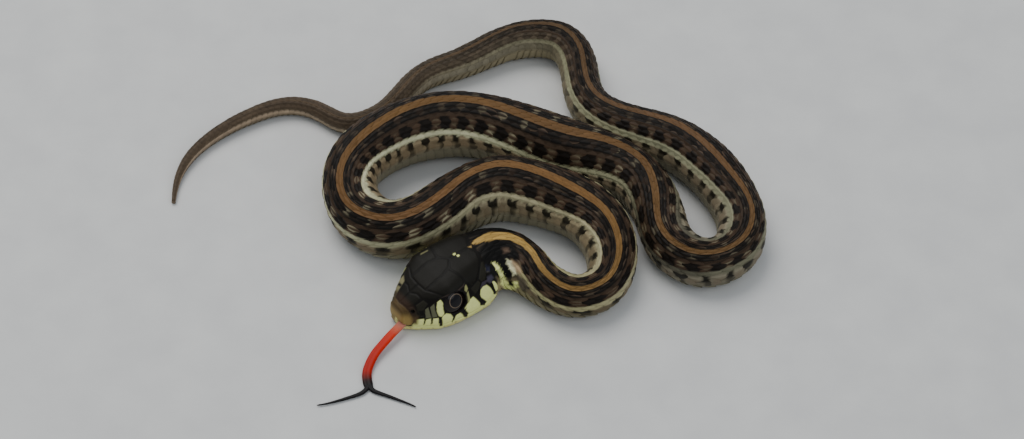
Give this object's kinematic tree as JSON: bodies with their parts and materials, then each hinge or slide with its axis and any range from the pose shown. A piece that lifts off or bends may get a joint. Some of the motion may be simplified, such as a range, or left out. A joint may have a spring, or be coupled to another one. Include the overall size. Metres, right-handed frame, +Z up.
{
  "type": "garter snake figure",
  "caption": "Still, life-size model of a young garter snake lying in flat loops, with its head in front, chin on the floor, and its forked tongue out to the floor.",
  "frame": {"origin": "on the floor, under the middle of the box round the whole animal", "axes": "+X to the right as the animal is seen with its head in front, +Y away from the viewer, towards the far loop and the tail, +Z up"},
  "size_m": [0.08, 0.0682, 0.0092],
  "materials": {
    "head_scales": "smooth, slightly glossy dark olive-brown head plates with cream lip plates",
    "eye": "wet, glossy, near-black with a pale ring round the pupil",
    "tongue": "moist orange-red with black tips",
    "body_scales": "satin keeled scales, black spots and red-brown flecks between three pale stripes",
    "tail_scales": "satin small scales, brown with a darker band"
  },
  "bodies": {
    "root": {"head": "head_scales", "eye_left": "eye", "eye_right": "eye", "tongue": "tongue", "neck": "body_scales", "body_1": "body_scales", "body_2": "body_scales", "body_3": "body_scales", "body_4": "body_scales", "body_5": "body_scales", "body_6": "body_scales", "body_7": "body_scales", "body_8": "body_scales", "body_9": "body_scales", "body_10": "body_scales", "tail_1": "tail_scales", "tail_2": "tail_scales", "tail_3": "tail_scales"}
  },
  "joints": []
}
